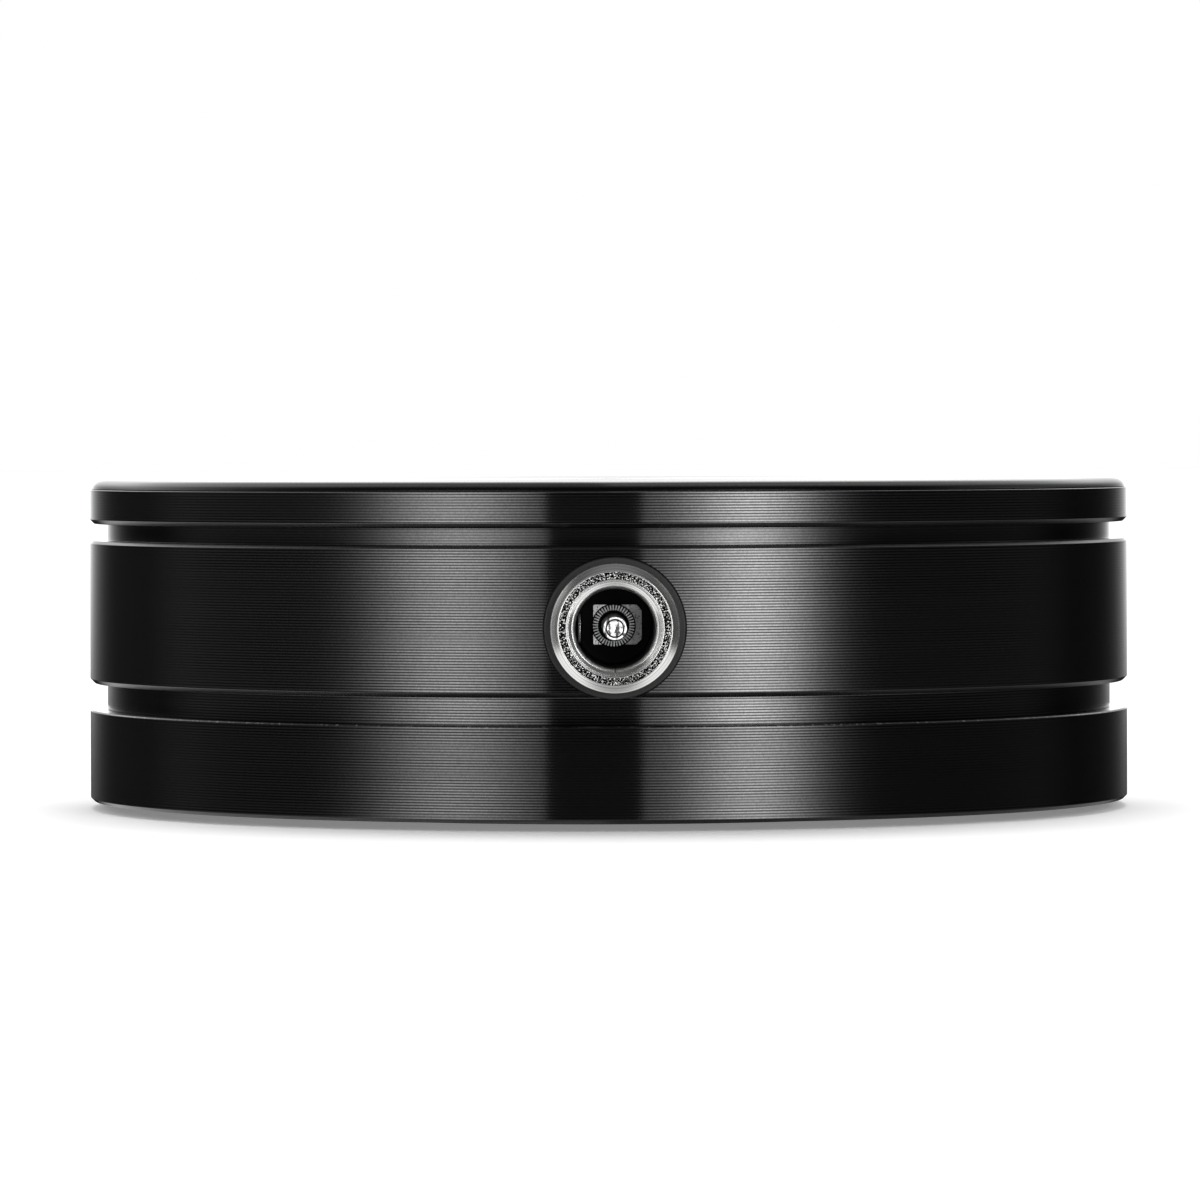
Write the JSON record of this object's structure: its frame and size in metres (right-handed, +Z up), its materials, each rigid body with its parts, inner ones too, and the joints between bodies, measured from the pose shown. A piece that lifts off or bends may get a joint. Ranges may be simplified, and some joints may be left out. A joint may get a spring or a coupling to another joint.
{
  "type": "magnetic stirrer",
  "caption": "Compact round magnetic stirrer with a flat top plate over a motor-driven magnet pair, a power inlet on one side and a speed knob opposite.",
  "frame": {"origin": "centre of the rubber pad's underside, where the stirrer rests on the bench", "axes": "+Z up along the case's and rotor's axis, -Y towards the power inlet, +Y towards the speed knob"},
  "size_m": [0.09, 0.1061, 0.0284],
  "materials": {
    "black_anodised": "turned and black anodised",
    "black_rubber": "matt",
    "black_screw": "black oxide",
    "plain_steel": "bright",
    "bright_aluminium": "drawn",
    "nickel_plate": "satin nickel",
    "magnet_nickel": "nickel-plated neodymium",
    "brass": "turned",
    "copper": "copper",
    "core_steel": "laminated",
    "ferrite": "matt",
    "black_plastic": "moulded",
    "hub_plastic": "moulded acetal",
    "circuit_board": "solder mask",
    "red_lens": "translucent",
    "red_insulation": "insulated wire",
    "black_insulation": "insulated wire"
  },
  "bodies": {
    "housing": {"top_cover": "black_anodised", "body_ring": "black_anodised", "base_cover": "black_anodised", "foot_pad": "black_rubber", "jack_washer": "black_rubber", "case_screw_1": "black_screw", "case_screw_2": "black_screw", "case_screw_3": "black_screw", "case_screw_4": "black_screw", "plate_screw_1": "black_screw", "plate_screw_2": "black_screw", "motor_screw_1": "black_screw", "motor_screw_2": "black_screw", "board_screw_1": "black_screw", "board_screw_2": "black_screw", "motor_can": "plain_steel", "motor_plate": "plain_steel", "jack_pin_base": "plain_steel", "filter_capacitor": "bright_aluminium", "jack_barrel": "nickel_plate", "jack_nut": "nickel_plate", "jack_pin": "nickel_plate", "jack_contact": "nickel_plate", "pot_washer": "nickel_plate", "pot_nut": "nickel_plate", "motor_front_bush": "brass", "motor_rear_bush": "brass", "plate_standoff_1": "brass", "plate_standoff_2": "brass", "board_standoff_1": "brass", "board_standoff_2": "brass", "pot_bush": "brass", "motor_brush_1": "copper", "motor_brush_2": "copper", "field_magnet_1": "ferrite", "field_magnet_2": "ferrite", "motor_end_cap": "black_plastic", "jack_insulator": "black_plastic", "pot_body": "black_plastic", "driver_chip": "black_plastic", "control_board": "circuit_board", "status_lamp": "red_lens", "wire_power_positive": "red_insulation", "wire_motor_positive": "red_insulation", "wire_power_negative": "black_insulation", "wire_motor_negative": "black_insulation"},
    "rotor": {"motor_shaft": "plain_steel", "armature_core": "core_steel", "armature_coil_1": "copper", "armature_coil_2": "copper", "armature_coil_3": "copper", "commutator": "copper", "rotor_hub": "hub_plastic", "hub_bush": "brass", "hub_screw": "black_screw", "drive_magnet_1": "magnet_nickel", "drive_magnet_2": "magnet_nickel"},
    "control_knob": {"pot_shaft": "plain_steel", "knob": "black_anodised", "knob_screw": "black_screw"}
  },
  "joints": [
    {"name": "rotor_spin", "type": "hinge", "parent": "housing", "child": "rotor", "pos_m": [0, 0, 0.02], "axis": [0, 0, 1], "continuous": true},
    {"name": "knob_turn", "type": "hinge", "parent": "housing", "child": "control_knob", "pos_m": [0, 0.0457, 0.01655], "axis": [0, -1, 0], "range_deg": [0, 300]}
  ]
}
